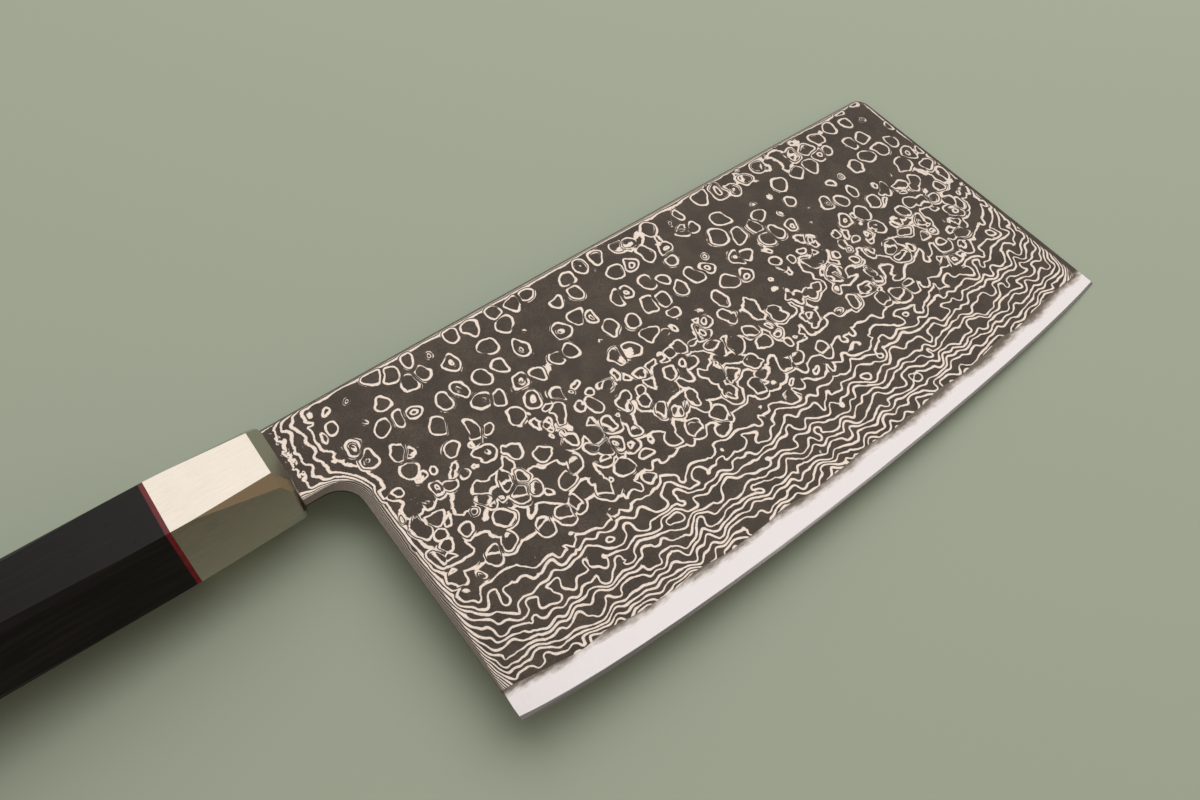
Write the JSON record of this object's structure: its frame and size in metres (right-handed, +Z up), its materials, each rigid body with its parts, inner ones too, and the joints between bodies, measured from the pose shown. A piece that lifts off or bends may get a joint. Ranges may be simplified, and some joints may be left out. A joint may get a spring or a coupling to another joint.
{
  "type": "chinese cleaver",
  "caption": "Chinese cleaver laid flat: tall blade of layered patterned steel with a bright edge band, bevelled metal ferrule, red spacer and faceted hexagonal dark wood handle.",
  "frame": {"origin": "bottom centre of the bounding box, on the table the knife lies on", "axes": "+X from the handle's butt to the blade's tip, +Y from the cutting edge to the spine, +Z up from the table, nearly square to the blade's face"},
  "size_m": [0.3184, 0.0916, 0.0294],
  "materials": {
    "core_steel": "mirror-polished hard core steel, bare along the cutting edge",
    "clad_steel": "etched layered cladding: dark grey-brown ground with bright wavy lines and rings",
    "ferrule_metal": "satin-polished nickel silver",
    "spacer_red": "polished dark red",
    "dark_wood": "polished near-black hardwood with a faint grain along its length",
    "bedding_resin": "cured resin around the hidden tang"
  },
  "bodies": {
    "root": {"blade_core": "core_steel", "cladding_top": "clad_steel", "cladding_bottom": "clad_steel", "tang_bedding": "bedding_resin", "ferrule": "ferrule_metal", "spacer": "spacer_red", "handle": "dark_wood"}
  },
  "joints": []
}
